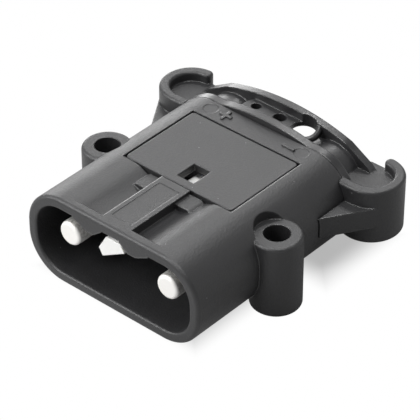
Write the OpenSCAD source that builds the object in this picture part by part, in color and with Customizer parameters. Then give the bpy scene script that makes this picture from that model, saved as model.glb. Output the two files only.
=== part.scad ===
// Two-pole battery plug: moulded shell with a rounded socket, two power pins,
// a half-hexagon coding pin, a snap-in lid and a rear yoke that carries the handle hooks.
// Millimetres. +X to the negative pin, +Y to the cable end, +Z up.
// The origin lies on the base, midway between the two ear holes.

/* [Shell] */
// Width of the shell across its sides
shell_w = 53.6; // [52:0.2:58]
// Height of the shell from base to top face
shell_h = 24.2; // [23.6:0.1:27]
// Radius of the four long edges of the shell
shell_r = 10.8; // [9:0.1:11.4]
// Wall round the socket
wall = 2.8; // [2.2:0.1:3.2]
// Distance from the ear holes forward to the rim
nose_len = 27.7; // [26.5:0.1:34]
// Distance from the ear holes back to the rear seam
tail_len = 26.5; // [25.5:0.1:34]
// Depth of the socket in front of the bulkhead
socket_depth = 20.5; // [17:0.1:20.8]
// Thickness of the bulkhead that holds the pins
bulkhead = 4.5; // [3.5:0.1:5]
// Rounding of the rim's outer edge
rim_round = 1; // [0.4:0.1:1.4]
// Rounding of the rim's inner edge
mouth_round = 0.6; // [0.3:0.1:0.9]

/* [Key grooves] */
// Full-height band behind the rim
rim_band = 2.6; // [2:0.1:4]
// Width of the tongue between the two grooves
tongue_w = 8.8; // [8:0.1:9.6]
// Depth of the grooves below the top face
groove_depth = 2.45; // [1.5:0.05:2.6]
// Width of the flat floor of a groove
groove_floor = 2.2; // [1.6:0.1:3]
// Width of the slope from a groove's floor up to the top face
groove_slope = 5.9; // [4.5:0.1:6.5]
// Length of the raised pads at the rear end of the grooves
pad_len = 5.2; // [3:0.1:7]
// Distance from the middle to the outer edge of a pad's top
pad_reach = 7.9; // [7.4:0.1:8.4]
// Drop of the pads below the top face
pad_drop = 1; // [0.6:0.05:1.4]
// Width of the slope at a pad's outer side, from its top to the level of the groove's floor
pad_slope = 2.4; // [1.6:0.1:3]
// Radius of the soft crest between a groove's slope and the top face
crest_r = 10; // [4:0.5:14]
// Wall kept under the grooves
key_wall = 2.35; // [2:0.05:2.8]
// Depth of the bare label panel on the tongue
panel_depth = 0.1; // [0.05:0.05:0.4]
// Width of that panel
panel_w = 6.2; // [5:0.1:7.2]
// Length of that panel
panel_len = 16.5; // [10:0.1:18]
// Distance from the rim band to that panel
panel_gap = 1.4; // [0.8:0.1:2]
// Reach of a key rib under the tongue
rib_reach = 1.6; // [1.2:0.1:2]
// Growth of a key rib's flat past the groove's floor
rib_over = 1; // [0.8:0.1:1.3]
// Chamfer of a key rib's lower edges
rib_chamfer = 0.5; // [0.3:0.1:0.6]

/* [Ejector marks] */
// Diameter of the round marks behind the lid
mark_d = 3.9; // [3:0.1:4.4]
// Depth of those marks
mark_depth = 0.12; // [0.05:0.01:0.2]
// Distance from the middle to a mark
mark_x = 14.2; // [13:0.1:14.6]
// Distance from the seam forward to the marks
mark_from_seam = 2.8; // [2.4:0.1:3.2]

/* [Ears] */
// Distance between the ear holes
ear_span = 53.2; // [52.6:0.2:58]
// Diameter of an ear hole
ear_hole_d = 6.5; // [5.5:0.1:7]
// Outside diameter of an ear
ear_d = 12.7; // [11:0.1:13.5]
// Height of an ear's top face
ear_h = 20.1; // [17:0.1:20.6]
// Diameter of the washer pocket above an ear
washer_d = 11; // [10:0.1:12]
// Rounding of an ear's edges
ear_round = 1; // [0.4:0.1:1.5]

/* [Contacts] */
// Distance between the two pin axes
pin_span = 30.6; // [29.6:0.2:31.6]
// Height of the pin axes above the base
pin_z = 13.4; // [12.8:0.1:14]
// Diameter of a power pin
pin_d = 6.4; // [5.6:0.1:7]
// Growth of a contact's diameter inside the bulkhead
shank_step = 0.6; // [0.4:0.1:1.2]
// Distance of the pin tips behind the rim
pin_inset = 2.2; // [1:0.1:6]
// Rounding of a pin's tip
pin_tip = 0.9; // [0.4:0.1:1.4]
// Diameter of the collar that stops on the bulkhead
collar_d = 12; // [11:0.1:12.4]
// Thickness of that collar
collar_t = 2.2; // [1.6:0.1:3]
// Diameter of the neck behind the collar
neck_d = 6.8; // [6.2:0.1:7.4]
// Length of the neck
neck_len = 3.8; // [3.2:0.1:4.6]
// Outside diameter of the crimp barrel
barrel_d = 10.4; // [9.6:0.1:11]
// Bore of the crimp barrel
barrel_bore = 6.8; // [5.6:0.1:7.6]
// Length of the crimp barrel
barrel_len = 16.5; // [12:0.1:18]
// Solid metal in front of the crimp bore
barrel_floor = 2; // [1.4:0.1:3]
// Diameter of the crimp's sight hole
sight_d = 2; // [1.4:0.1:2.6]
// Distance from the neck back to the sight hole
sight_back = 4; // [3.4:0.1:6]

/* [Coding pin] */
// Width of the coding hexagon across its flats
code_af = 8; // [7:0.1:8.4]
// Distance of the coding pin's axis below the top face
code_drop = 8.4; // [8:0.1:9.2]
// Distance of the coding pin's tip behind the rim
code_inset = 1; // [0.5:0.1:4]
// Turn of the coding half, in steps of a sixth
code_step = 0; // [0:1:5]
// Diameter of the flange behind the bulkhead
flange_d = 11; // [10.2:0.1:11.6]
// Thickness of that flange
flange_t = 1.6; // [1.2:0.1:2.2]
// Length of the legend head behind the flange
head_len = 7; // [5:0.1:8]
// Width of that head across its flats
head_af = 8.6; // [8.2:0.1:9]
// Thickness of the stop rib behind that head
stop_t = 2; // [1.4:0.1:3]

/* [Lid] */
// Width of the lid
lid_w = 33.1; // [32:0.1:34]
// Length of the lid
lid_len = 24.4; // [22:0.1:26]
// Distance from the rim to the lid's front edge
lid_from_rim = 23.2; // [22.4:0.1:24]
// Thickness of the lid
lid_t = 2.2; // [1.6:0.1:2.4]
// Drop of the lid below the top face
lid_drop = 0.1; // [0:0.05:0.4]
// Corner radius of the lid
lid_corner = 1.1; // [0.4:0.1:1.6]
// Width of the window
window_w = 5; // [4:0.1:6]
// Shift of the window to the side of the negative pin
window_shift = 0.4; // [0:0.1:0.8]
// Length of the window
window_len = 6.1; // [5:0.1:7]
// Distance from the lid's front edge to the window
window_from_edge = 2.4; // [1.6:0.1:4]
// Thickness of the lugs that lock the contacts
lug_t = 3.2; // [2.4:0.1:3.6]
// Reach of the lugs below the contacts' necks
lug_reach = 0.8; // [0.4:0.1:1.2]
// Distance from the well to the lugs
lug_from_well = 1.6; // [1:0.1:2]
// Distance from the lid's side to the lugs
lug_from_side = 0.6; // [0.3:0.1:1]
// Ledge under the lid's rear edge
lid_ledge = 1; // [0.6:0.1:1.6]

/* [Yoke] */
// Outside diameter of a cable tube
tube_d = 17; // [16:0.1:18]
// Bore of the cable passage
cable_d = 12.4; // [11:0.1:12.6]
// Length of the yoke behind the seam
yoke_len = 10.6; // [10.2:0.1:14]
// Thickness of the front arch wall
front_wall = 2.2; // [1.8:0.1:2.6]
// Thickness of the rear arch wall
rear_wall = 2; // [1.6:0.1:2.4]
// Radius of both arches
arch_r = 62; // [50:1:90]
// Rise of the arches above the shell's top face
arch_rise = 1.5; // [1:0.1:2]
// Half width of the rear arch
arch_half = 19.1; // [18:0.1:20]
// Half width of the rear wall at its foot
foot_half = 25.4; // [24.8:0.1:26]
// Rise of that foot above the hook seats
foot_rise = 1.3; // [0.7:0.1:1.6]
// Length of the soft run-out at the foot
foot_flare = 1.6; // [1.4:0.1:2.6]
// Thickness of the plate between the tubes
plate_t = 1.3; // [1:0.1:2]
// Drop of that plate below the shell's top face
plate_drop = 1; // [0.6:0.1:1.6]
// Half width of that plate
plate_half = 10.6; // [10:0.1:11.4]
// Overlap of the plate on the tubes' shoulders
plate_lap = 0.2; // [0.1:0.05:0.4]
// Half width of the open bay between the tubes
bay_half = 6.4; // [5.6:0.1:6.6]
// Height of the bay's ceiling above the pin axes
bay_rise = 6; // [5:0.1:6.4]
// Length of the spigots that enter the shell
spigot_len = 4.8; // [3:0.1:6]
// Wall of a spigot
spigot_wall = 1.45; // [1.1:0.05:1.7]

/* [Plate holes] */
// Distance between neighbouring plate holes
hole_pitch = 7.45; // [7.2:0.05:7.8]
// Diameter of the small plate hole
small_d = 2.6; // [2:0.1:3]
// Diameter of the middle plate hole
middle_d = 3.4; // [3:0.1:4]
// Length of the screw bosses under the small and middle holes
boss_len = 5; // [3:0.1:7]
// Wall of those bosses
boss_wall = 1.2; // [1:0.1:1.4]
// Diameter of the large plate hole
large_d = 6.4; // [5.6:0.1:6.8]
// Wall of the collar at the large hole
ring_wall = 1; // [0.8:0.05:1.05]
// Rise of that collar above the plate, at its high side
ring_rise = 1.8; // [1:0.1:2.2]
// Slope at which that collar's top falls away from its high side, in degrees
ring_slope = 13.5; // [8:0.5:18]
// Bearing of that collar's high side, from the right
ring_high = 107; // [90:1:120]
// Turn from the high side to the front end of that collar
ring_turn = 167; // [120:1:175]
// Turn from the high side to the rear end of that collar
ring_lead = 6; // [2:1:20]
// Radius of the bead on that collar
ring_bead = 0.7; // [0.6:0.05:0.8]
// Radius of the bead's round end
ring_knob = 0.76; // [0.65:0.01:0.85]

/* [Hooks] */
// Distance between the two hook centres
hook_span = 57.2; // [56.8:0.2:60]
// Distance from the seam back to the hook centres
hook_back = 6.3; // [5.9:0.1:6.8]
// Outside diameter of a hook
hook_d = 16.2; // [15:0.1:16.6]
// Wall of a hook
hook_wall = 2.8; // [2:0.1:3.2]
// Height of a hook's rim above the base
hook_top = 20.3; // [19:0.1:20.8]
// Depth of the round seat inside a hook
seat_depth = 2.6; // [1.8:0.1:3.2]
// Floor under that seat
seat_floor = 2.4; // [1.6:0.1:3]
// Height of a hook's underside above the base
hook_bottom = 5.2; // [4.6:0.1:7]
// Rounding of a hook's edges
hook_round = 0.8; // [0.3:0.1:1.2]
// Distance from a hook's centre back to its flat rear face
hook_flat = 6.4; // [5:0.1:7]
// Turn from the rearmost point back to the round end of a hook's wall, in degrees
hook_short = 4; // [2:0.5:10]
// Length of a web in front of the seam
web_len = 11.6; // [8.5:0.1:14]
// Height of a web's top face above the base
web_top = 15.7; // [14.6:0.1:16.2]
// Thickness of a web
web_t = 5.6; // [4:0.1:7]

/* [Clearances] */
// Gap round the lid
lid_gap = 0.4; // [0.15:0.05:0.5]
// Clearance of pieces that are pushed together
fit = 0.1; // [0.05:0.05:0.2]
// Room round a contact's collar in its tunnel
tunnel_gap = 0.5; // [0.3:0.05:0.7]
// Gap at the rear seam and beside the webs
seam_gap = 0.15; // [0.1:0.05:0.3]

/* [Hidden] */
$fn = 48;
edge_fn = 16;
arch_fn = 192;
eps = 0.01;
far = 200;
over = 1;
hole_over = 0.5;
crest_lap = 0.002;
web_lap = 0.05;

shell_black = [0.17, 0.17, 0.18];
lid_black = [0.19, 0.19, 0.2];
yoke_black = [0.16, 0.16, 0.17];
contact_silver = [0.86, 0.86, 0.84];
code_white = [0.93, 0.93, 0.9];

// Stations along Y
rim_y = -nose_len;
seam_y = tail_len;
bulkhead_y0 = rim_y + socket_depth;
bulkhead_y1 = bulkhead_y0 + bulkhead;
lid_y0 = rim_y + lid_from_rim;
lid_y1 = lid_y0 + lid_len;
yoke_y0 = seam_y + seam_gap;
yoke_y1 = seam_y + yoke_len;
neck_y0 = bulkhead_y1 + collar_t;
neck_y1 = neck_y0 + neck_len;
barrel_y1 = neck_y1 + barrel_len;
lug_y0 = neck_y0 + (neck_len - lug_t) / 2;
head_y1 = bulkhead_y1 + flange_t + head_len;
hook_y = seam_y + hook_back;
web_tip = seam_y - web_len;
bay_y0 = lid_y1 - lid_gap - lid_ledge;

// Levels along Z
groove_z = shell_h - groove_depth;
pad_z = shell_h - pad_drop;
lid_top = shell_h - lid_drop;
lid_bottom = lid_top - lid_t;
lug_z = pin_z - neck_d / 2 - lug_reach;
code_z = shell_h - code_drop;
seat_z = hook_top - seat_depth;
plate_top = shell_h - plate_drop;
arch_top = shell_h + arch_rise;

// Places across X
pin_x = pin_span / 2;
shank_d = pin_d + shank_step;
tunnel_r = collar_d / 2 + tunnel_gap;
spigot_r = cable_d / 2 + spigot_wall;
ear_x = ear_span / 2;
hook_x = hook_span / 2;
tongue_x = tongue_w / 2;
groove_foot = tongue_x + groove_floor;
groove_crest = groove_foot + groove_slope;
lid_x = lid_w / 2;
lug_x0 = bay_half + lug_from_well;
lug_x1 = lid_x - lug_from_side;

// Height of the arches' top edge at x
function arch_z(x) = arch_top - arch_r + sqrt(arch_r * arch_r - x * x);

// Both sides of the plane of symmetry
module both() {
    children();
    mirror([1, 0, 0]) children();
}

// A flat outline in X and Z, carried along Y from y0 to y1
module along_y(y0, y1) {
    translate([0, y1, 0]) rotate([90, 0, 0]) linear_extrude(y1 - y0) children();
}

// A round bar along Y through (x, z)
module rod_y(x, z, r, y0, y1) {
    translate([x, y0, z]) rotate([-90, 0, 0]) cylinder(r = r, h = y1 - y0);
}

// Rounded rectangle centred on x = 0 and z = shell_h / 2
module rounded(w, h, r) {
    translate([0, shell_h / 2]) {
        square([w - 2 * r, h], center = true);
        square([w, h - 2 * r], center = true);
        for (sx = [-1, 1], sz = [-1, 1])
            translate([sx * (w / 2 - r), sz * (h / 2 - r)]) circle(r);
    }
}

// Quarter disc in the positive quadrant
module quarter(f) {
    intersection() {
        circle(f, $fn = edge_fn);
        square([f, f]);
    }
}

// Edge profile: a strip of width r and height f whose outer front corner is round
module soft_edge(r, f) {
    square([r - f, f]);
    translate([r - f, f]) mirror([0, 1]) quarter(f);
}

// A slice behind the rim plane: an edge profile carried round a rounded rectangle
module rim_slice(w, h, r, t) {
    cx = w / 2 - r;
    cz = h / 2 - r;
    translate([0, rim_y, shell_h / 2]) {
        for (sx = [-1, 1], sz = [-1, 1])
            translate([sx * cx, 0, sz * cz]) rotate([-90, 0, 0]) rotate_extrude() children();
        for (sx = [0, 1])
            mirror([sx, 0, 0]) translate([cx, 0, -cz]) linear_extrude(2 * cz) children();
        for (sz = [0, 1])
            mirror([0, 0, sz]) translate([-cx, 0, -cz]) rotate([0, 90, 0])
                linear_extrude(2 * cx) children();
        if (t > 0) translate([-cx, 0, -cz]) cube([2 * cx, t, 2 * cz]);
    }
}

// Solid outside of the shell
module shell_outside() {
    along_y(rim_y + rim_round, seam_y) rounded(shell_w, shell_h, shell_r);
    rim_slice(shell_w, shell_h, shell_r, rim_round) soft_edge(shell_r, rim_round);
    both() translate([ear_x, 0, 0]) ear();
}

// One ear: a round boss with soft edges
module ear() {
    r = ear_d / 2;
    rotate_extrude() {
        translate([0, ear_round]) square([r, ear_h - 2 * ear_round]);
        soft_edge(r, ear_round);
        translate([0, ear_h]) mirror([0, 1]) soft_edge(r, ear_round);
    }
}

// Flare profile of the mouth: a strip of width r and height f, widened by f in a quarter round
module flare(r, f) {
    square([r, f]);
    difference() {
        translate([r, 0]) square([f, f]);
        translate([r + f, f]) circle(f, $fn = edge_fn);
    }
}

// Socket with its rear wall on the bulkhead and its mouth rounded
module socket() {
    w = shell_w - 2 * wall;
    h = shell_h - 2 * wall;
    r = shell_r - wall;
    along_y(rim_y + mouth_round, bulkhead_y0) rounded(w, h, r);
    rim_slice(w, h, r, mouth_round) flare(r, mouth_round);
    translate([0, -mouth_round, 0])
        rim_slice(w, h, r, mouth_round) square([r + mouth_round, mouth_round]);
}

// Outline of a key groove, right half; its crest is a soft round
module groove_outline() {
    angle = atan2(groove_depth, groove_slope);
    reach = crest_r * tan(angle / 2);
    difference() {
        polygon([[tongue_x, shell_h + over], [tongue_x, groove_z], [groove_foot, groove_z],
            [groove_crest - reach * cos(angle), shell_h - reach * sin(angle)],
            [groove_crest + reach, shell_h], [groove_crest + reach, shell_h + over]]);
        translate([groove_crest + reach, shell_h - crest_r])
            circle(crest_r + crest_lap, $fn = arch_fn);
    }
}

// Key groove in the top wall, right half, with its flat pad at the rear
module groove() {
    y1 = lid_y0 - lid_gap;
    side = pad_reach + pad_slope;
    difference() {
        along_y(rim_y + rim_band, y1 + eps) groove_outline();
        along_y(y1 - pad_len, y1 + over)
            polygon([[0, 0], [0, pad_z], [pad_reach, pad_z], [side, groove_z], [side, 0]]);
    }
}

// Shallow round mark of an ejector, right half
module ejector_mark() {
    translate([mark_x, seam_y - mark_from_seam, shell_h - mark_depth]) cylinder(d = mark_d, h = over);
}

// Key rib under a groove, right half: it keeps a wall below the groove
module key_rib() {
    ceiling = shell_h - wall;
    low = groove_z - key_wall;
    rise = mouth_round + eps;
    near = tongue_x - rib_reach;
    end = groove_crest - rib_reach / 2;
    along_y(rim_y, bulkhead_y0 + eps) polygon([
        [near, ceiling], [tongue_x + rib_over - 1.4 * rib_chamfer, low + rib_chamfer],
        [tongue_x + rib_over, low], [groove_foot + rib_over, low],
        [groove_foot + 2 * rib_over, low + 0.8 * rib_chamfer], [end, ceiling],
        [end, ceiling + rise], [near, ceiling + rise]]);
}

// Bare label panel, a shallow recess on the tongue
module label_panel() {
    translate([-panel_w / 2, rim_y + rim_band + panel_gap, shell_h - panel_depth])
        cube([panel_w, panel_len, over]);
}

// Seat of the lid, with slots for its lugs and the well over the coding head
module lid_seat() {
    translate([-lid_x - lid_gap, lid_y0 - lid_gap, lid_bottom])
        cube([lid_w + 2 * lid_gap, lid_len + 2 * lid_gap, lid_t + over]);
    both() translate([lug_x0 - fit, lug_y0 - fit, lug_z - fit])
        cube([lug_x1 - lug_x0 + 2 * fit, lug_t + 2 * fit, lid_bottom - lug_z + over]);
    translate([-bay_half, bulkhead_y1, wall])
        cube([2 * bay_half, bay_y0 - bulkhead_y1, lid_bottom - wall + eps]);
}

// Passages along Y: pins, cables, spigot seats and the open middle bay
module shell_passages() {
    both() {
        rod_y(pin_x, pin_z, shank_d / 2 + fit, bulkhead_y0 - over, bulkhead_y1 + over);
        rod_y(pin_x, pin_z, tunnel_r, bulkhead_y1, seam_y + over);
        rod_y(pin_x, pin_z, spigot_r + fit, seam_y - spigot_len - fit, seam_y + over);
    }
    translate([-bay_half, bay_y0 - over, wall])
        cube([2 * bay_half, far, pin_z + bay_rise - wall]);
    along_y(bulkhead_y0 - over, bulkhead_y1 + over)
        translate([0, code_z]) hexagon(code_af + 2 * fit);
}

// Regular hexagon with a flat on top, by its width across flats
module hexagon(af) {
    polygon([for (k = [0:5]) af / sqrt(3) * [cos(60 * k), sin(60 * k)]]);
}

// Stop rib behind the coding head
module head_stop() {
    translate([-bay_half - eps, head_y1 + fit, wall - eps])
        cube([2 * bay_half + 2 * eps, stop_t, code_z - wall]);
}

module shell() {
    color(shell_black) difference() {
        union() {
            difference() {
                shell_outside();
                socket();
            }
            both() key_rib();
        }
        both() {
            groove();
            ejector_mark();
            translate([ear_x, 0, -over]) cylinder(d = ear_hole_d, h = ear_h + 2 * over);
            translate([ear_x, 0, ear_h]) cylinder(d = washer_d, h = shell_h);
        }
        label_panel();
        difference() {
            union() {
                lid_seat();
                shell_passages();
            }
            head_stop();
        }
    }
}

// Rounded rectangle in plan, centred
module plan_rounded(w, l, r) {
    square([w - 2 * r, l], center = true);
    square([w, l - 2 * r], center = true);
    for (sx = [-1, 1], sy = [-1, 1])
        translate([sx * (w / 2 - r), sy * (l / 2 - r)]) circle(r, $fn = edge_fn);
}

module lid() {
    color(lid_black) {
        difference() {
            translate([0, (lid_y0 + lid_y1) / 2, lid_bottom])
                linear_extrude(lid_t) plan_rounded(lid_w, lid_len, lid_corner);
            translate([window_shift - window_w / 2, lid_y0 + window_from_edge, lid_bottom - over])
                cube([window_w, window_len, lid_t + 2 * over]);
        }
        both() difference() {
            translate([lug_x0, lug_y0, lug_z])
                cube([lug_x1 - lug_x0, lug_t, lid_bottom - lug_z + eps]);
            rod_y(pin_x, pin_z, neck_d / 2 + fit, lug_y0 - over, lug_y0 + lug_t + over);
            translate([pin_x - neck_d / 2 - fit, lug_y0 - over, lug_z - over])
                cube([neck_d + 2 * fit, lug_t + 2 * over, pin_z - lug_z + over]);
        }
    }
}

// Turned contact: pin, collar, neck and crimp barrel on one axis
module contact() {
    tip_y = rim_y + pin_inset;
    difference() {
        translate([pin_x, 0, pin_z]) rotate([-90, 0, 0]) rotate_extrude() {
            translate([0, tip_y]) soft_edge(pin_d / 2, pin_tip);
            polygon([[0, tip_y + pin_tip], [pin_d / 2, tip_y + pin_tip],
                [pin_d / 2, bulkhead_y0], [shank_d / 2, bulkhead_y0], [shank_d / 2, bulkhead_y1],
                [collar_d / 2, bulkhead_y1], [collar_d / 2, neck_y0],
                [neck_d / 2, neck_y0], [neck_d / 2, neck_y1], [barrel_d / 2, neck_y1],
                [barrel_d / 2, barrel_y1], [0, barrel_y1]]);
        }
        rod_y(pin_x, pin_z, barrel_bore / 2, neck_y1 + barrel_floor, barrel_y1 + over);
        translate([pin_x, neck_y1 + sight_back, pin_z]) cylinder(d = sight_d, h = barrel_d);
    }
}

module contact_positive() {
    color(contact_silver) mirror([1, 0, 0]) contact();
}

module contact_negative() {
    color(contact_silver) contact();
}

// Coding pin: half hexagon in the socket, full hexagon through the bulkhead, flange and legend head
module coding_pin() {
    color(code_white) translate([0, 0, code_z]) rotate([0, -60 * code_step, 0]) {
        along_y(rim_y + code_inset, bulkhead_y0 + eps) intersection() {
            hexagon(code_af);
            rotate(30) translate([-code_af, 0]) square([2 * code_af, code_af]);
        }
        along_y(bulkhead_y0, bulkhead_y1 + eps) hexagon(code_af);
        rod_y(0, 0, flange_d / 2, bulkhead_y1, bulkhead_y1 + flange_t);
        along_y(bulkhead_y1 + flange_t - eps, head_y1) hexagon(head_af);
    }
}

// Outline of the rear arch wall: the arch, cut by slopes that run down to the hook seats
module rear_outline() {
    foot_z = seat_z + foot_rise;
    toe = foot_half + foot_flare;
    mid = [foot_half + 0.55 * foot_flare, seat_z + 0.27 * foot_rise];
    fall = (arch_z(arch_half) - foot_z) / (foot_half - arch_half);
    intersection() {
        translate([0, arch_top - arch_r]) circle(arch_r, $fn = arch_fn);
        polygon([[0, foot_z + fall * foot_half],
            [foot_half, foot_z], mid, [toe, seat_z], [toe, pin_z],
            [-toe, pin_z], [-toe, seat_z], [-mid[0], mid[1]], [-foot_half, foot_z]]);
    }
}

// Outline of the front arch wall: the shell's own shoulders with the arch on top
module front_outline() {
    intersection() {
        rounded(shell_w, shell_h, shell_r);
        translate([-far / 2, pin_z - tube_d / 2]) square([far, shell_h]);
    }
    intersection() {
        translate([0, arch_top - arch_r]) circle(arch_r, $fn = arch_fn);
        translate([-far / 2, shell_h - over]) square([far, shell_h]);
    }
}

// Round drum with its seat, right side
module drum() {
    r = hook_d / 2;
    translate([hook_x, hook_y, 0]) rotate_extrude() {
        translate([0, hook_bottom + hook_round]) square([r, seat_z - hook_bottom - hook_round]);
        translate([0, hook_bottom]) soft_edge(r, hook_round);
    }
}

// Space behind a drum's flat rear face, as far as the round end of the hook's wall
module hook_cut() {
    turn = 90 - hook_short;
    difference() {
        intersection() {
            translate([-far / 2, hook_flat, -over]) cube(far);
            rotate([0, 0, turn]) translate([-far / 2, 0, -over]) cube(far);
        }
        rotate([0, 0, turn]) translate([(hook_d - hook_wall) / 2, 0, -over])
            cylinder(d = hook_wall, h = far);
    }
}

// Section of a hook's wall above its seat, with soft top edges
module hook_section() {
    f = hook_round;
    h = hook_top - seat_z;
    square([hook_wall, h - f]);
    translate([f, h - f]) square([hook_wall - 2 * f, f]);
    translate([hook_wall - f, h - f]) quarter(f);
    translate([f, h - f]) mirror([1, 0]) quarter(f);
}

// Half of that section, from its middle outwards
module hook_half_section() {
    f = hook_round;
    h = hook_top - seat_z;
    square([hook_wall / 2, h - f]);
    translate([0, h - f]) square([hook_wall / 2 - f, f]);
    translate([hook_wall / 2 - f, h - f]) quarter(f);
}

// C-shaped hook wall, right side: straight in front, round on the outside, open to the rear
module hook_wall_c() {
    inner = hook_d / 2 - hook_wall;
    turn = 180 - hook_short;
    translate([hook_x, hook_y, seat_z]) {
        rotate([0, 0, -90]) {
            rotate_extrude(angle = turn) translate([inner, 0]) hook_section();
            rotate([0, 0, turn]) translate([inner + hook_wall / 2, 0, 0])
                rotate_extrude(angle = 180) hook_half_section();
        }
        rotate([90, 0, -90]) linear_extrude(hook_x - shell_w / 4)
            translate([inner, 0]) hook_section();
    }
}

// Gusset web, right side: runs from its tip on the shell's side as a tangent to the drum
module web() {
    r = hook_d / 2 - web_lap;
    px = shell_w / 2;
    d = norm([hook_x - px, hook_y - web_tip]);
    run = sqrt(d * d - r * r);
    bearing = atan2(hook_y - web_tip, hook_x - px) - asin(r / d);
    touch = [px + run * cos(bearing), web_tip + run * sin(bearing)];
    translate([0, 0, web_top - web_t]) linear_extrude(web_t)
        polygon([[px, web_tip], touch, [hook_x, hook_y], [px - wall, hook_y], [px - wall, web_tip]]);
}

// Floor block that joins a tube to its drum, right side
module floor_block() {
    y0 = hook_y - hook_d / 2;
    z0 = web_top - web_t;
    translate([pin_x, y0, z0]) cube([hook_x - pin_x, yoke_y1 - y0, seat_z - z0]);
}

// Arch walls, drums, hooks and webs, before the shell and the bay are cleared
module yoke_frame() {
    both() {
        difference() {
            drum();
            translate([hook_x, hook_y, 0]) hook_cut();
        }
        hook_wall_c();
        web();
        floor_block();
    }
    along_y(yoke_y0, yoke_y0 + front_wall) front_outline();
    along_y(yoke_y1 - rear_wall, yoke_y1) rear_outline();
}

// Space kept free for the shell and for the open bay between the tubes
module yoke_space() {
    g = 2 * seam_gap;
    along_y(0, yoke_y0) rounded(shell_w + g, shell_h + g, shell_r + seam_gap);
    translate([-bay_half, 0, -over]) cube([2 * bay_half, far, plate_top - plate_t + over]);
    translate([-plate_half + plate_lap, yoke_y0 + front_wall, -over])
        cube([2 * (plate_half - plate_lap), far, plate_top - plate_t + over]);
}

// Tilted frame of the collar's bead, with its origin on the axis of the large hole
module bead_frame() {
    ring_r = large_d / 2 + ring_wall;
    translate([ring_r, 0, plate_t + ring_rise - ring_bead]) rotate([0, -ring_slope, 0])
        translate([-ring_r / cos(ring_slope), 0, 0]) children();
}

// Part collar at the large hole: a low wall with a bead on its tilted top and a round rear end
module collar() {
    bead_r = large_d / 2 + ring_wall / 2;
    turn = ring_turn + ring_lead;
    difference() {
        rotate([0, 0, -ring_turn]) rotate_extrude(angle = turn)
            square([large_d / 2 + ring_wall, plate_t + ring_rise]);
        bead_frame() translate([-far / 2, -far / 2, 0]) cube([far, far, far]);
    }
    bead_frame() {
        rotate([0, 0, -ring_turn]) rotate_extrude(angle = turn)
            translate([bead_r, 0]) circle(ring_bead);
        rotate([0, 0, ring_lead]) translate([bead_r, 0, 0]) sphere(ring_knob);
    }
}

// Plate between the arches, round at the small hole, with a part collar at the large one
module yoke_plate() {
    end_r = plate_half - hole_pitch;
    z0 = plate_top - plate_t;
    translate([0, 0, z0]) linear_extrude(plate_t) {
        translate([-hole_pitch, yoke_y0]) square([hole_pitch + plate_half, yoke_y1 - yoke_y0]);
        translate([-plate_half, yoke_y0]) square([end_r, hook_y - yoke_y0]);
        translate([-hole_pitch, hook_y]) circle(end_r);
    }
    for (q = [[-hole_pitch, small_d], [0, middle_d]])
        translate([q[0], hook_y, z0 - boss_len]) cylinder(r = q[1] / 2 + boss_wall, h = boss_len);
    translate([hole_pitch, hook_y, z0]) rotate([0, 0, ring_high]) collar();
}

module rear_yoke() {
    under = plate_top - plate_t - hole_over;
    core_r = hook_d / 2 - hook_wall;
    color(yoke_black) difference() {
        union() {
            difference() {
                yoke_frame();
                yoke_space();
            }
            yoke_plate();
            both() {
                rod_y(pin_x, pin_z, tube_d / 2, yoke_y0, yoke_y1);
                rod_y(pin_x, pin_z, spigot_r, seam_y - spigot_len, yoke_y0 + over);
            }
        }
        both() rod_y(pin_x, pin_z, cable_d / 2, 0, yoke_y1 + over);
        translate([-hole_pitch, hook_y, under - boss_len]) cylinder(d = small_d, h = shell_h);
        translate([0, hook_y, under - boss_len]) cylinder(d = middle_d, h = shell_h);
        translate([hole_pitch, hook_y, under])
            cylinder(d = large_d, h = plate_top + ring_rise + hole_over - under);
        both() intersection() {
            translate([hook_x, hook_y, hook_bottom - over])
                cylinder(r = core_r, h = seat_z - seat_floor - hook_bottom + over);
            translate([hook_x + hook_wall / 2, 0, 0]) cube([far, far, far]);
        }
    }
}

shell();
lid();
contact_positive();
contact_negative();
coding_pin();
rear_yoke();
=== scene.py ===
"""Finishes, moulded signs and a studio stage for a two-pole battery plug.

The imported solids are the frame. Each one is shown by a merged copy with soft edges, and the
polarity signs are worked out here. All lengths are metres in the frame's own axes: +X to the
negative pin, +Y to the cable end, +Z up, the base on z = 0.
"""

import math

import bmesh
import bpy
import numpy as np
from bpy.props import FloatProperty, FloatVectorProperty, IntProperty, PointerProperty
from mathutils import Euler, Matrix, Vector


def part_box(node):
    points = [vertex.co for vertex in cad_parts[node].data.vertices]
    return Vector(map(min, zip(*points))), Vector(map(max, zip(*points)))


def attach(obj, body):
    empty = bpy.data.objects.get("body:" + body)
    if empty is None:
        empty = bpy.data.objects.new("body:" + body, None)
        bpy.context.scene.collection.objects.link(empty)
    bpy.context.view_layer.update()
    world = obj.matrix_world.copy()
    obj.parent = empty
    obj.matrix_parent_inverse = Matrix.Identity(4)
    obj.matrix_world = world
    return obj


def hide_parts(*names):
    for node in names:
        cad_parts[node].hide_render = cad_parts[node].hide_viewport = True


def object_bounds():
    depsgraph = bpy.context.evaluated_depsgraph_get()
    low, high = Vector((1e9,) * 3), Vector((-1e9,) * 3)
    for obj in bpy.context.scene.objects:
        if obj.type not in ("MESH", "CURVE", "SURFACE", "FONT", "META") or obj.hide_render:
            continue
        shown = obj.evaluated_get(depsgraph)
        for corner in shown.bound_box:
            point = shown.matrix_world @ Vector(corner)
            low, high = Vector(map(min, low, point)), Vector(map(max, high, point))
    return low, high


bl_info = {
    "name": "Two-pole battery plug",
    "version": (1, 0, 0),
    "blender": (4, 5, 0),
    "location": "View3D > Sidebar > Plug",
    "description": "Finishes, moulded signs and a studio stage for a two-pole battery plug",
    "category": "Object",
}

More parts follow.
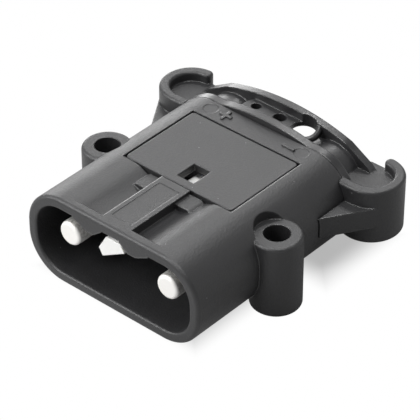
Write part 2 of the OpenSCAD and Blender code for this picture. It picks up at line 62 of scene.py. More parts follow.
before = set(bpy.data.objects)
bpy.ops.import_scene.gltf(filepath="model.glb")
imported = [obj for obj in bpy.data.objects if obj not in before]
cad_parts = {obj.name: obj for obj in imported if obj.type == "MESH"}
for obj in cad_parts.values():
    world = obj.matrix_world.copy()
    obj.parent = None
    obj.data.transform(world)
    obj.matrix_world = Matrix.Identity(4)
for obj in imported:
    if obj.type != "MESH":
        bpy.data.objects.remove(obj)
CAD_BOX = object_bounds()

MM = 0.001
BODY = "root"
SHELL_FINISH = "shell_satin_black"
WHITE = (1.0, 1.0, 1.0, 1.0)
MIDDLE = 0.5

# Soft copies: points that merge, faces that join, edges that get a round, pull of large faces
MERGE = 0.002 * MM
FLAT = math.radians(0.4)
SHARP = math.radians(32.0)
FACE_PULL = 60

# Polarity signs: turns of the bars, and shares of the round and of the reach
PLUS_BARS = (0.0, math.pi / 2)
MINUS_BARS = (0.0,)
BAR_POWER = 8.0
SIGN_STEPS = 192
SIGN_ROUND_STEPS = 6
SIGN_ROUND = 0.7
SIGN_FLAT_INSET = 1.6
SIGN_LEAST_REACH = 0.12
SIGN_SINK = 0.2 * MM

# Black mouldings: noise in cycles per metre, then what each mark does to colour and gloss
GRAIN_SCALE = 3600.0
MOTTLE_SCALE = 2000.0
CLOUD_SCALE = 85.0
FLOW_SCALE = (420.0, 55.0, 420.0)
LINT_SCALE = 330.0
SATIN_ROUGHNESS = 0.49
SATIN_SPECULAR = 0.65
CLOUD_ROUGH = 0.10
MOTTLE_ROUGH = 0.16
GRAIN_ROUGH = 0.08
GRAIN_HEIGHT = 0.4
MOTTLE_HEIGHT = 0.6
SATIN_BUMP = 0.8
SATIN_DEPTH = 0.13 * MM
SATIN_EDGE = 0.45 * MM
TONE_CLOUD = 0.6
TONE_FLOW = 0.4
TONE_FADE = (0.3, 0.7)
TONE_DARK = 0.9
TONE_LIGHT = 1.1
# Rubbed edges: glossier, and lighter in colour, which is partly wear and partly a painted highlight
RUB_EDGE = 0.7 * MM
RUB_SAMPLES = 8
RUB_FADE = (0.004, 0.06)
RUB_EVEN = 0.35
RUB_CLOUDED = 0.9
RUB_SHEEN_COVER = 0.08
RUB_GLOSS = 0.36
LINT_RADIUS = 0.035
LINT_CHOICE = 0.54
LINT_COVER = 0.7
LINT_GAIN = 1.4
LINT_ROUGH = 0.2

# Tops of the yoke's arch walls, which hands polish
POLISH_FROM = 21.0 * MM
POLISH_FADE = 1.0 * MM
POLISH_TILT = (0.55, 0.85)
POLISH_GLOSS = 0.16
POLISH_SMOOTH = 0.7

# Plated contacts
RING_SCALE = (20.0, 5200.0, 20.0)
WIPE_SCALE = (2600.0, 70.0, 2600.0)
TARNISH_SCALE = 260.0
PIT_SCALE = 1300.0
PLATING_ROUGHNESS = 0.68
RING_ROUGH = 0.10
WIPE_ROUGH = 0.14
RING_HEIGHT = 0.6
WIPE_HEIGHT = 0.4
PLATING_BUMP = 0.3
PLATING_DEPTH = 0.01 * MM
PLATING_EDGE = 0.2 * MM
TIP_TILT = (0.10, 0.55)
TARNISH_COLOUR = (0.62, 0.60, 0.55)
TARNISH_FADE = (0.48, 0.72)
TARNISH_TIP = 0.08
TARNISH_SIDE = 0.3
TARNISH_ROUGH = 0.10
PIT_COLOUR = (0.34, 0.33, 0.31)
PIT_FADE = (0.36, 0.66)
PIT_COVER = 0.45

# White coding pin
NYLON_CLOUD_SCALE = 160.0
NYLON_GRAIN_SCALE = 3000.0
NYLON_FADE = (0.3, 0.7)
NYLON_DARK = 0.93
NYLON_ROUGHNESS = 0.36
NYLON_CLOUD_ROUGH = 0.12
NYLON_GRAIN_ROUGH = 0.06
NYLON_BUMP = 0.2
NYLON_DEPTH = 0.02 * MM
NYLON_EDGE = 0.25 * MM
NYLON_GLOW = 0.12
NYLON_GLOW_REACH = (1.0 * MM, 1.0 * MM, 0.9 * MM)

# Floor: footprints of the body and the hooks, where less white is mixed in so that the grey floor
# makes a painted shadow on top of the real one, and a spot of painted shade that mirrors see
FLOOR_HALF = 1.6
FLOOR_LINES = 9
FLOOR_CLOUD_SCALE = 12.0
FLOOR_DARK = 0.98
BODY_SHADE = 26.0 * MM
HOOK_SHADE = 34.0 * MM
HOOK_DEPTH = 31.0 * MM
SHADE_FADE = (-9.0 * MM, 1.0 * MM)
SHADE_WHITE = 0.45
# Spot of painted shade at the plug's right, which mirrors see as grey floor instead of white
MIRROR_SHADE_SPOT = (62.0 * MM, 14.0 * MM)
MIRROR_SHADE_FADE = (26.0 * MM, 95.0 * MM)

# Lamps: the place and the side of each softbox, and the point that all of them face
LAMPS = {
    "key": ((-0.46, 0.53, 0.62), 0.80),
    "top": ((0.05, -0.05, 0.95), 0.35),
    "front": ((-0.30, -0.60, 0.62), 0.36),
    "low": ((-0.60, -0.45, 0.36), 0.34),
    "rim": ((-0.74, 0.52, 0.14), 0.40),
    "back": ((-0.26, 0.50, 0.76), 0.14),
    "fill": ((0.62, 0.55, 0.34), 0.50),
}
LAMP_AIM = Vector((0.0, 5.0 * MM, 12.0 * MM))

# Camera: place in metres, lens and sensor in millimetres
CAMERA_PLACE = (0.31382, -0.35239, 0.36652)
CAMERA_TURN = (math.radians(53.21), 0.0, math.radians(41.122))
CAMERA_LENS = 213.27
CAMERA_SENSOR = 36.0
CAMERA_NEAR = 0.01
CAMERA_FAR = 20.0

# A Mix node has like-named sockets for each kind of value, so those for colours go by number
MIX_FACTOR, MIX_FIRST, MIX_SECOND, MIX_RESULT = 0, 6, 7, 2


# Sizes and colours that a user would change


class PlugSizes(bpy.types.PropertyGroup):
    """Sizes of the soft edges and of the moulded signs."""

    edge_round: FloatProperty(
        name="Edge round",
        description="Soft round on the sharp edges of the black mouldings",
        default=0.22 * MM,
        min=0.05 * MM,
        max=0.5 * MM,
        precision=5,
        unit="LENGTH",
    )
    pin_round: FloatProperty(
        name="Pin edge round",
        description="Soft round on the turned contacts and the coding pin",
        default=0.15 * MM,
        min=0.03 * MM,
        max=0.4 * MM,
        precision=5,
        unit="LENGTH",
    )
    edge_steps: IntProperty(
        name="Edge steps",
        description="Faces across one soft edge",
        default=3,
        min=1,
        max=6,
    )
    sign_span: FloatProperty(
        name="Sign span",
        description="Length of a bar of the polarity signs",
        default=3.8 * MM,
        precision=5,
        unit="LENGTH",
    )
    sign_bar: FloatProperty(
        name="Sign bar",
        description="Width of a bar of the polarity signs",
        default=0.92 * MM,
        precision=5,
        unit="LENGTH",
    )
    sign_rise: FloatProperty(
        name="Sign rise",
        description="Height of the polarity signs above the shell",
        default=0.36 * MM,
        precision=5,
        unit="LENGTH",
    )
    plus_place: FloatVectorProperty(
        name="Plus sign place",
        description="Centre of the plus sign across and along the shell",
        default=(-9.3 * MM, 23.6 * MM),
        size=2,
        precision=5,
        unit="LENGTH",
    )
    minus_place: FloatVectorProperty(
        name="Minus sign place",
        description="Centre of the minus sign across and along the shell",
        default=(10.6 * MM, 23.3 * MM),
        size=2,
        precision=5,
        unit="LENGTH",
    )


class PlugColours(bpy.types.PropertyGroup):
    """Colours of the finishes, as linear values."""

    shell: FloatVectorProperty(
        name="Shell plastic",
        description="Colour of the black shell",
        default=(0.014, 0.014, 0.015),
        size=3,
        min=0,
        max=1,
        subtype="COLOR",
    )
    lid: FloatVectorProperty(
        name="Lid plastic",
        description="Colour of the black lid",
        default=(0.015, 0.015, 0.016),
        size=3,
        min=0,
        max=1,
        subtype="COLOR",
    )
    yoke: FloatVectorProperty(
        name="Yoke plastic",
        description="Colour of the black rear yoke",
        default=(0.013, 0.013, 0.014),
        size=3,
        min=0,
        max=1,
        subtype="COLOR",
    )
    # Dust for the lint. On the rubbed edges this colour is partly wear and partly a painted
    # highlight
    dust_and_sheen: FloatVectorProperty(
        name="Dust",
        description="Colour of the fine lint and rubbed edges",
        default=(0.26, 0.26, 0.26),
        size=3,
        min=0,
        max=1,
        subtype="COLOR",
    )
    metal: FloatVectorProperty(
        name="Contact metal",
        description="Colour of the silver plating on the contacts",
        default=(0.90, 0.89, 0.87),
        size=3,
        min=0,
        max=1,
        subtype="COLOR",
    )
    nylon: FloatVectorProperty(
        name="Coding nylon",
        description="Colour of the white coding pin",
        default=(0.90, 0.90, 0.88),
        size=3,
        min=0,
        max=1,
        subtype="COLOR",
    )


class StudioLook(bpy.types.PropertyGroup):
    """Floor, lamps and room light of the studio."""

    # Grey of the floor, seen where less white is mixed in: it makes the painted shadow near the
    # plug and the painted shade in mirrors
    floor: FloatVectorProperty(
        name="Floor",
        description="Colour of the pale floor",
        default=(0.30, 0.30, 0.30),
        size=3,
        min=0,
        max=1,
        subtype="COLOR",
    )
    key_power: FloatProperty(
        name="Key lamp",
        description="Power of the large rear left softbox",
        default=2.3,
        unit="POWER",
    )
    top_power: FloatProperty(
        name="Top lamp",
        description="Power of the softbox above",
        default=5.6,
        unit="POWER",
    )
    front_power: FloatProperty(
        name="Front lamp",
        description="Power of the high front softbox",
        default=4.9,
        unit="POWER",
    )
    low_power: FloatProperty(
        name="Low lamp",
        description="Power of the low front left softbox",
        default=3.2,
        unit="POWER",
    )
    rim_power: FloatProperty(
        name="Rim lamp",
        description="Power of the low left softbox",
        default=2.9,
        unit="POWER",
    )
    back_power: FloatProperty(
        name="Back lamp",
        description="Power of the small softbox behind",
        default=1.5,
        unit="POWER",
    )
    fill_power: FloatProperty(
        name="Fill lamp",
        description="Power of the weak softbox behind right",
        default=0.45,
        unit="POWER",
    )
    sky: FloatProperty(
        name="Room light",
        description="Strength of the even light of the room",
        default=0.33,
    )


# Surfaces


def into_scene(name, data):
    """A new object at the origin, linked to the scene."""
    made = bpy.data.objects.new(name, data)
    bpy.context.scene.collection.objects.link(made)
    return made


def build_mesh(name, points, faces):
    """A smooth mesh object at the origin from an array of points and a list of faces."""
    mesh = bpy.data.meshes.new(name)
    mesh.from_pydata(points.tolist(), [], faces)
    mesh.validate()
    mesh.shade_smooth()
    return into_scene(name, mesh)


def ring_faces(rings, steps):
    """Quads between neighbouring closed rings of `steps` points, inner ring first."""
    index = np.arange(rings * steps).reshape(rings, steps)
    turned = np.roll(index, -1, axis=1)
    quads = np.stack([index[1:], turned[1:], turned[:-1], index[:-1]], axis=-1)
    return quads.reshape(-1, 4).tolist()


def bar_reach(angle, half_long, half_wide):
    """Distance from a bar's centre to its outline in the direction `angle`.

    The outline is a superellipse of the eighth power, |x / a|^8 + |y / b|^8 = 1,
    which is a bar with softly rounded ends.
    """
    along = np.abs(np.cos(angle) / half_long) ** BAR_POWER
    across = np.abs(np.sin(angle) / half_wide) ** BAR_POWER
    return (along + across) ** (-1.0 / BAR_POWER)


def sign_surface(bars, half_long, half_wide, rise, centre):
    """Points and faces of a raised sign, closed on all sides.

    In polar form: in each direction the reach is the largest reach of the sign's bars. From the
    middle outwards the top is flat, then falls in a quarter round of a part of the sign's height,
    then runs straight down into the shell by SIGN_SINK. Two parameters: the direction and the
    station along that section.
    """
    angle = np.linspace(0.0, 2.0 * np.pi, SIGN_STEPS, endpoint=False)
    reach = np.max([bar_reach(angle - turn, half_long, half_wide) for turn in bars], axis=0)
    quarter = np.linspace(0.0, np.pi / 2.0, SIGN_ROUND_STEPS)
    soft = min(rise, half_wide) * SIGN_ROUND
    inset = np.concatenate([[SIGN_FLAT_INSET * soft], soft * (1.0 - np.sin(quarter)), [0.0]])
    level = np.concatenate([[rise], rise - soft * (1.0 - np.cos(quarter)), [-SIGN_SINK]])
    radius = np.maximum(reach[None, :] - inset[:, None], SIGN_LEAST_REACH * reach[None, :])
    x, y, z = centre
    rings = np.stack(
        [
            x + radius * np.cos(angle),
            y + radius * np.sin(angle),
            z + np.broadcast_to(level[:, None], radius.shape),
        ],
        axis=-1,
    )
    poles = np.array([[x, y, z + rise], [x, y, z - SIGN_SINK]])
    points = np.concatenate([rings.reshape(-1, 3), poles])
    count, steps = radius.shape
    first = np.arange(steps)
    after = np.roll(first, -1)
    low = (count - 1) * steps
    top = np.stack([first, after, np.full(steps, count * steps)], axis=-1)
    bottom = np.stack([np.full(steps, count * steps + 1), low + after, low + first], axis=-1)
    return points, ring_faces(count, steps) + top.tolist() + bottom.tolist()


# Shader maths


class Socket:
    """One output of a node. Arithmetic on it adds Math nodes to its finish."""

    def __init__(self, finish, output):
        self.finish = finish
        self.output = output

    def math(self, operation, first, second=None):
        """A Math node on one or two values."""
        return self.finish.add("ShaderNodeMath", {"operation": operation}, {0: first, 1: second})

    def __add__(self, other):
        return self.math("ADD", self, other)

    def __radd__(self, other):
        return self.math("ADD", other, self)

    def __sub__(self, other):
        return self.math("SUBTRACT", self, other)

    def __rsub__(self, other):
        return self.math("SUBTRACT", other, self)

    def __mul__(self, other):
        return self.math("MULTIPLY", self, other)

    def __rmul__(self, other):
        return self.math("MULTIPLY", other, self)

    def __pow__(self, other):
        return self.math("POWER", self, other)

    def __rpow__(self, other):
        return self.math("POWER", other, self)

    def __abs__(self):
        return self.math("ABSOLUTE", self)

    def __gt__(self, other):
        return self.math("GREATER_THAN", self, other)

    def __lt__(self, other):
        return self.math("LESS_THAN", self, other)

    def at_least(self, other):
        """The larger of two values."""
        return self.math("MAXIMUM", self, other)

    def at_most(self, other):
        """The smaller of two values."""
        return self.math("MINIMUM", self, other)


class Finish:
    """The nodes of a material, or of the room, and the few ways in which they are made."""

    def __init__(self, owner):
        self.owner = owner
        owner.use_nodes = True
        self.tree = owner.node_tree
        self.tree.nodes.clear()

    def add(self, kind, settings=None, sockets=None, output=0):
        """Adds a node, sets its settings, then its sockets' values or links; gives one output."""
        made = self.tree.nodes.new(kind)
        for name, value in (settings or {}).items():
            setattr(made, name, value)
        for name, value in (sockets or {}).items():
            if isinstance(value, Socket):
                self.tree.links.new(made.inputs[name], value.output)
            elif value is not None:
                made.inputs[name].default_value = value
        return Socket(self, made.outputs[output]) if len(made.outputs) else None

    def beside(self, socket, output):
        """Another output of the node that a socket comes from."""
        return Socket(self, socket.output.node.outputs[output])

    def seen(self):
        """1 for rays straight to the camera, and 1 for rays by a mirror or through glass."""
        camera = self.add("ShaderNodeLightPath", output="Is Camera Ray")
        mirror = self.beside(camera, "Is Glossy Ray") + self.beside(camera, "Is Transmission Ray")
        return camera, mirror > MIDDLE

    def place(self, scale=None):
        """Object coordinates, stretched along the axes where a scale is given."""
        place = self.add("ShaderNodeTexCoord", output="Object")
        if scale is None:
            return place
        return self.add("ShaderNodeMapping", {}, {"Vector": place, "Scale": scale})

    def facing(self):
        """The direction that the surface faces."""
        return self.add("ShaderNodeNewGeometry", output="Normal")

    def soft_facing(self, radius, samples=6):
        """The direction that the surface faces, with edges rounded by a radius."""
        return self.add("ShaderNodeBevel", {"samples": samples}, {"Radius": radius})

    def part(self, vector, axis):
        """One part of a vector."""
        return self.add("ShaderNodeSeparateXYZ", {}, {"Vector": vector}, axis)

    def noise(self, place, scale=1.0, detail=2.0):
        """Soft noise between 0 and 1; scale is in cycles per metre."""
        return self.add(
            "ShaderNodeTexNoise", {}, {"Vector": place, "Scale": scale, "Detail": detail}
        )

    def span(self, value, low, high):
        """0 below `low`, 1 above `high`, smooth between."""
        return self.add(
            "ShaderNodeMapRange",
            {"interpolation_type": "SMOOTHSTEP"},
            {"Value": value, "From Min": low, "From Max": high},
        )

    def blend(self, factor, first, second):
        """Colour mix."""
        return self.add(
            "ShaderNodeMix",
            {"data_type": "RGBA"},
            {MIX_FACTOR: factor, MIX_FIRST: first, MIX_SECOND: second},
            MIX_RESULT,
        )

    def relief(self, height, strength, depth, facing):
        """Bumps of a height from 0 to 1 times a depth, on a direction."""
        return self.add(
            "ShaderNodeBump",
            {},
            {"Strength": strength, "Distance": depth, "Height": height, "Normal": facing},
        )

    def surface(self, sockets):
        """Principled surface on the material's output."""
        shader = self.add("ShaderNodeBsdfPrincipled", {}, sockets)
        self.add("ShaderNodeOutputMaterial", {}, {"Surface": shader})
        return self.owner


def new_finish(name):
    """An empty node material."""
    return Finish(bpy.data.materials.new(name))


def rgba(colour, gain=1.0):
    """A colour with its brightness scaled, as four numbers."""
    return (*[min(1.0, c * gain) for c in colour], 1.0)


def moulded_plastic(name, colour, dust_and_sheen, polish_from=None):
    """Black satin moulding: spark grain, broad clouds, flow along the part, rubbed edges, lint. The
    rubbed edges are glossier and lighter in colour. The lighter colour is partly wear and partly a
    painted highlight.

    Where `polish_from` is given, faces that look up from above that height are polished by hands.
    """
    finish = new_finish(name)
    place = finish.place()
    grain = finish.noise(place, GRAIN_SCALE, detail=3.0)
    mottle = finish.noise(place, MOTTLE_SCALE)
    cloud = finish.noise(place, CLOUD_SCALE, detail=3.0)
    flow = finish.noise(finish.place(FLOW_SCALE))
    facing = finish.facing()
    along = finish.add(
        "ShaderNodeVectorMath",
        {"operation": "DOT_PRODUCT"},
        {0: finish.soft_facing(RUB_EDGE, RUB_SAMPLES), 1: facing},
        "Value",
    )
    # Edge mask for gloss, and for a lighter colour that is partly wear and partly a painted
    # highlight
    rub_and_sheen = finish.span(1.0 - along, *RUB_FADE) * (RUB_EVEN + RUB_CLOUDED * cloud)
    speck = finish.add(
        "ShaderNodeTexVoronoi",
        {"feature": "F1"},
        {"Vector": place, "Scale": LINT_SCALE},
        "Distance",
    )
    chosen = finish.noise(place, LINT_SCALE, detail=0.0)
    lint = (speck < LINT_RADIUS) * (chosen > LINT_CHOICE)
    tone = finish.blend(
        finish.span(TONE_CLOUD * cloud + TONE_FLOW * flow, *TONE_FADE),
        rgba(colour, TONE_DARK),
        rgba(colour, TONE_LIGHT),
    )
    # Edges go towards the dust colour: partly wear, partly a painted highlight
    worn_and_sheen = finish.blend(RUB_SHEEN_COVER * rub_and_sheen, tone, rgba(dust_and_sheen))
    base = finish.blend(LINT_COVER * lint, worn_and_sheen, rgba(dust_and_sheen, LINT_GAIN))
    spread = (
        CLOUD_ROUGH * (cloud - MIDDLE)
        + MOTTLE_ROUGH * (mottle - MIDDLE)
        + GRAIN_ROUGH * (grain - MIDDLE)
    )
    rough = SATIN_ROUGHNESS + spread - RUB_GLOSS * rub_and_sheen + LINT_ROUGH * lint
    height = GRAIN_HEIGHT * grain + MOTTLE_HEIGHT * mottle
    if polish_from is not None:
        above = finish.span(finish.part(place, "Z"), polish_from, polish_from + POLISH_FADE)
        polish = above * finish.span(finish.part(facing, "Z"), *POLISH_TILT)
        rough = rough - POLISH_GLOSS * polish
        height = height * (1.0 - POLISH_SMOOTH * polish)
    bump = finish.relief(height, SATIN_BUMP, SATIN_DEPTH, finish.soft_facing(SATIN_EDGE))
    return finish.surface(
        {
            "Base Color": base,
            "Roughness": rough,
            "Normal": bump,
            "Specular IOR Level": SATIN_SPECULAR,
        }
    )


def turned_metal(name, colour):
    """Silver plated turning: fine rings round the axis and wiping marks along it.

    The tip that faces the socket's mouth is clean. The sides have light tarnish and small pits.
    """
    finish = new_finish(name)
    place = finish.place()
    rings = finish.noise(finish.place(RING_SCALE))
    wipes = finish.noise(finish.place(WIPE_SCALE))
    tarnish = finish.span(finish.noise(place, TARNISH_SCALE, detail=3.0), *TARNISH_FADE)
    ahead = 0.0 - finish.part(finish.facing(), "Y")
    side = 1.0 - finish.span(ahead, *TIP_TILT)
    pits = side * finish.span(finish.noise(place, PIT_SCALE, detail=3.0), *PIT_FADE)
    dulled = (TARNISH_TIP + TARNISH_SIDE * side) * tarnish
    plating = finish.blend(dulled, rgba(colour), rgba(TARNISH_COLOUR))
    base = finish.blend(PIT_COVER * pits, plating, rgba(PIT_COLOUR))
    rough = (
        PLATING_ROUGHNESS
        + RING_ROUGH * (rings - MIDDLE)
        + WIPE_ROUGH * (wipes - MIDDLE)
        + TARNISH_ROUGH * tarnish
    )
    height = RING_HEIGHT * rings + WIPE_HEIGHT * wipes
    bump = finish.relief(height, PLATING_BUMP, PLATING_DEPTH, finish.soft_facing(PLATING_EDGE))
    return finish.surface({"Base Color": base, "Metallic": 1.0, "Roughness": rough, "Normal": bump})


def white_nylon(name, colour):
    """Moulded white nylon: waxy, faint clouds, fine grain, soft edges."""
    finish = new_finish(name)
    place = finish.place()
    cloud = finish.noise(place, NYLON_CLOUD_SCALE, detail=3.0)
    grain = finish.noise(place, NYLON_GRAIN_SCALE)
    base = finish.blend(finish.span(cloud, *NYLON_FADE), rgba(colour, NYLON_DARK), rgba(colour))
    rough = (
        NYLON_ROUGHNESS
        + NYLON_CLOUD_ROUGH * (cloud - MIDDLE)
        + NYLON_GRAIN_ROUGH * (grain - MIDDLE)
    )
    bump = finish.relief(grain, NYLON_BUMP, NYLON_DEPTH, finish.soft_facing(NYLON_EDGE))
    return finish.surface(
        {
            "Base Color": base,
            "Roughness": rough,
            "Normal": bump,
            "Subsurface Weight": NYLON_GLOW,
            "Subsurface Radius": NYLON_GLOW_REACH,
            "Subsurface Scale": 1.0,
        }
    )


def distance(across, along):
    """Length of a step across and along: the root of the sum of both squares."""
    return (across**2.0 + along**2.0) ** 0.5


def outside(x, y, half, back, front):
    """Distance on the floor outside a rectangle of half width `half`, from y = front to y = back.

    Inside the rectangle it is the negative distance to the nearest side.
    """
    side = abs(x) - half
    ends = abs(y - (back + front) / 2) - (back - front) / 2
    beyond = distance(side.at_least(0.0), ends.at_least(0.0))
    return beyond + side.at_least(ends).at_most(0.0)


def studio_floor(name, colour):
    """Floor that runs out to plain white, with a painted shadow near the plug on top of its real
    shadow.

    The white share grows with the distance from the body's footprint and from the hooks above the
    floor. Inside them the grey floor shows through as a painted shadow on top of the real one. In
    mirrors the floor is dark only round a spot at the plug's right, on the side away from the
    lamps:
    a painted shade in the plug's reflections.
    """
    finish = new_finish(name)
    place = finish.place()
    x = finish.part(place, "X")
    y = finish.beside(x, "Y")
    low, high = CAD_BOX
    body = outside(x, y, BODY_SHADE, high.y, low.y)
    hooks = outside(x, y, HOOK_SHADE, high.y, high.y - HOOK_DEPTH)
    # Less white inside the footprints: a painted shadow on top of the real one
    clear = finish.span(body.at_most(hooks), *SHADE_FADE)
    # Mirrors see the grey floor round that spot: a painted shade in the plug's reflections
    far = finish.span(distance(x - MIRROR_SHADE_SPOT[0], y - MIRROR_SHADE_SPOT[1]), *MIRROR_SHADE_FADE)
    camera, mirror = finish.seen()
    white = finish.add("ShaderNodeEmission", {}, {"Color": WHITE, "Strength": 1.0})
    cloud = finish.noise(place, FLOOR_CLOUD_SCALE)
    tint = finish.blend(cloud, rgba(colour, FLOOR_DARK), rgba(colour))
    lit = finish.add("ShaderNodeBsdfDiffuse", {}, {"Color": tint})
    share = camera * (SHADE_WHITE + (1.0 - SHADE_WHITE) * clear) + mirror * far
    shader = finish.add("ShaderNodeMixShader", {}, {0: share, 1: lit, 2: white})
    finish.add("ShaderNodeOutputMaterial", {}, {"Surface": shader})
    return finish.owner


def studio_room(name, strength):
    """Even light of the room."""
    finish = Finish(bpy.data.worlds.new(name))
    light = finish.add("ShaderNodeBackground", {}, {"Color": WHITE, "Strength": strength})
    finish.add("ShaderNodeOutputWorld", {}, {"Surface": light})
    return finish.owner


# Pieces


def soft_copy(node, piece, material, width):
    """A merged copy of a solid's mesh with rounded edges, which stands for that solid."""
    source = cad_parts.get(node)
    if source is None:
        raise RuntimeError(f"the frame has no solid named {node}")
    mesh = source.data.copy()
    mesh.name = piece
    mesh.materials.clear()
    if "custom_normal" in mesh.attributes:
        mesh.attributes.remove(mesh.attributes["custom_normal"])
    work = bmesh.new()
    work.from_mesh(mesh)
    bmesh.ops.remove_doubles(work, verts=work.verts, dist=MERGE)
    bmesh.ops.dissolve_limit(work, angle_limit=FLAT, verts=work.verts, edges=work.edges)
    work.to_mesh(mesh)
    work.free()
    mesh.shade_smooth()
    mesh.materials.append(material)
    copy = into_scene(piece, mesh)
    edge = copy.modifiers.new("soft_edges", "BEVEL")
    edge.width = width
    edge.segments = bpy.context.scene.plug_sizes.edge_steps
    edge.limit_method = "ANGLE"
    edge.angle_limit = SHARP
    edge.use_clamp_overlap = True
    shade = copy.modifiers.new("even_shading", "WEIGHTED_NORMAL")
    shade.weight = FACE_PULL
    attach(copy, BODY)
    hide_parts(node)


def shell_top():
    """Height of the shell's top face."""
    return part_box("shell")[1].z


def add_sign(name, bars, place):
    """One raised polarity sign on the shell's top face."""
    sizes = bpy.context.scene.plug_sizes
    points, faces = sign_surface(
        bars,
        sizes.sign_span / 2,
        sizes.sign_bar / 2,
        sizes.sign_rise,
        (*place, shell_top()),
    )
    piece = build_mesh(name, points, faces)
    piece.data.materials.append(bpy.data.materials[SHELL_FINISH])
    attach(piece, BODY)


class PLUG_OT_shell(bpy.types.Operator):
    """Show the moulded shell with soft edges and a satin finish"""

    bl_idname = "plug.shell"
    bl_label = "Shell"

    def execute(self, context):
        sizes, colours = context.scene.plug_sizes, context.scene.plug_colours
        satin = moulded_plastic(SHELL_FINISH, colours.shell, colours.dust_and_sheen)
        soft_copy("shell", "moulded_shell", satin, sizes.edge_round)
        return {"FINISHED"}


class PLUG_OT_lid(bpy.types.Operator):
    """Show the snap-in lid with soft edges and a satin finish"""

    bl_idname = "plug.lid"
    bl_label = "Lid"

    def execute(self, context):
        sizes, colours = context.scene.plug_sizes, context.scene.plug_colours
        satin = moulded_plastic("lid_satin_black", colours.lid, colours.dust_and_sheen)
        soft_copy("lid", "snap_lid", satin, sizes.edge_round)
        return {"FINISHED"}


class PLUG_OT_yoke(bpy.types.Operator):
    """Show the rear yoke with soft edges, a satin finish and polished arch tops"""

    bl_idname = "plug.yoke"
    bl_label = "Rear yoke"

    def execute(self, context):
        sizes, colours = context.scene.plug_sizes, context.scene.plug_colours
        satin = moulded_plastic("yoke_satin_black", colours.yoke, colours.dust_and_sheen, POLISH_FROM)
        soft_copy("rear_yoke", "hook_yoke", satin, sizes.edge_round)
        return {"FINISHED"}


class PLUG_OT_contacts(bpy.types.Operator):
    """Show the two turned contacts in plated metal"""

    bl_idname = "plug.contacts"
    bl_label = "Contacts"

    def execute(self, context):
        sizes, colours = context.scene.plug_sizes, context.scene.plug_colours
        plating = turned_metal("silver_plating", colours.metal)
        for pole in ("positive", "negative"):
            soft_copy(
                f"contact_{pole}",
                f"turned_pin_{pole}",
                plating,
                sizes.pin_round,
            )
        return {"FINISHED"}


class PLUG_OT_coding_pin(bpy.types.Operator):
    """Show the white coding pin"""

    bl_idname = "plug.coding_pin"
    bl_label = "Coding pin"

    def execute(self, context):
        sizes, colours = context.scene.plug_sizes, context.scene.plug_colours
        nylon = white_nylon("coding_nylon_white", colours.nylon)
        soft_copy("coding_pin", "half_hexagon_pin", nylon, sizes.pin_round)
        return {"FINISHED"}


class PLUG_OT_signs(bpy.types.Operator):
    """Raise the plus and minus signs on the shell behind the lid"""

    bl_idname = "plug.signs"
    bl_label = "Polarity signs"

    def execute(self, context):
        sizes = context.scene.plug_sizes
        add_sign("plus_sign", PLUS_BARS, sizes.plus_place)
        add_sign("minus_sign", MINUS_BARS, sizes.minus_place)
        return {"FINISHED"}


# Stage


def add_floor(colour):
    """The floor at the base's height: a square grid of points across and along."""
    line = np.linspace(-FLOOR_HALF, FLOOR_HALF, FLOOR_LINES)
    across, along = np.meshgrid(line, line, indexing="ij")
    points = np.stack([across, along, np.full_like(across, CAD_BOX[0].z)], axis=-1)
    index = np.arange(across.size).reshape(across.shape)
    quads = np.stack([index[:-1, :-1], index[1:, :-1], index[1:, 1:], index[:-1, 1:]], axis=-1)
    floor = build_mesh("studio_floor", points.reshape(-1, 3), quads.reshape(-1, 4).tolist())
    floor.data.materials.append(studio_floor("floor_white", colour))


def add_softbox(name, place, side, power):
    """A square area lamp that faces the plug."""
    lamp = bpy.data.lights.new(name, "AREA")
    lamp.shape = "SQUARE"
    lamp.size = side
    lamp.energy = power
    holder = into_scene(name, lamp)
    holder.location = place
    holder.rotation_euler = (LAMP_AIM - Vector(place)).to_track_quat("-Z", "Y").to_euler()


def add_camera(name):
    """The camera at the photo's viewing angle."""
    lens = bpy.data.cameras.new(name)
    lens.sensor_width = CAMERA_SENSOR
    lens.lens = CAMERA_LENS
    lens.clip_start = CAMERA_NEAR
    lens.clip_end = CAMERA_FAR
    camera = into_scene(name, lens)
    camera.location = CAMERA_PLACE
    camera.rotation_euler = Euler(CAMERA_TURN)
    return camera


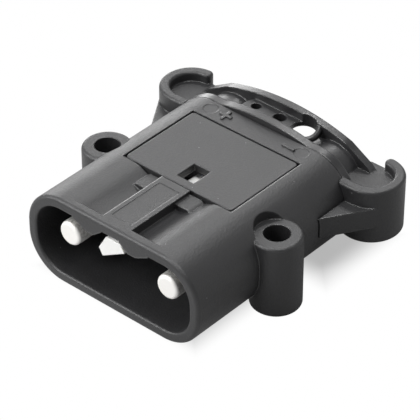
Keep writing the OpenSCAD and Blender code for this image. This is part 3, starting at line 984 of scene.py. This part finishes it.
class PLUG_OT_stage(bpy.types.Operator):
    """Set up the pale floor, the soft lamps, the room light and the camera"""

    bl_idname = "plug.stage"
    bl_label = "Studio stage"

    def execute(self, context):
        scene = context.scene
        look = scene.studio_look
        add_floor(look.floor)
        for name, (place, side) in LAMPS.items():
            add_softbox(f"{name}_softbox", place, side, getattr(look, f"{name}_power"))
        scene.world = studio_room("room", look.sky)
        scene.camera = add_camera("photo_camera")
        scene.view_settings.view_transform = "Standard"
        return {"FINISHED"}


# Sidebar and start


class PLUG_PT_parts(bpy.types.Panel):
    """Sidebar list of the plug's pieces"""

    bl_idname = "PLUG_PT_parts"
    bl_label = "Battery plug"
    bl_space_type = "VIEW_3D"
    bl_region_type = "UI"
    bl_category = "Plug"

    def draw(self, context):
        for group in GROUPS:
            box = self.layout.box()
            holder = getattr(context.scene, group)
            for name in holder.__annotations__:
                box.prop(holder, name)
        for operator in OPERATORS:
            self.layout.operator(operator.bl_idname)


GROUPS = {"plug_sizes": PlugSizes, "plug_colours": PlugColours, "studio_look": StudioLook}
OPERATORS = (
    PLUG_OT_stage,
    PLUG_OT_shell,
    PLUG_OT_lid,
    PLUG_OT_yoke,
    PLUG_OT_contacts,
    PLUG_OT_coding_pin,
    PLUG_OT_signs,
)
CLASSES = (*GROUPS.values(), *OPERATORS, PLUG_PT_parts)


def register():
    """Adds the classes, and the settings to every scene."""
    for cls in CLASSES:
        bpy.utils.register_class(cls)
    for name, cls in GROUPS.items():
        setattr(bpy.types.Scene, name, PointerProperty(type=cls))


def unregister():
    """Takes the settings and the classes away again."""
    for name in GROUPS:
        delattr(bpy.types.Scene, name)
    for cls in reversed(CLASSES):
        bpy.utils.unregister_class(cls)


def main():
    """Builds the stage and all pieces."""
    register()
    bpy.ops.plug.stage()
    bpy.ops.plug.shell()
    bpy.ops.plug.lid()
    bpy.ops.plug.yoke()
    bpy.ops.plug.contacts()
    bpy.ops.plug.coding_pin()
    bpy.ops.plug.signs()


if __name__ == "__main__":
    main()
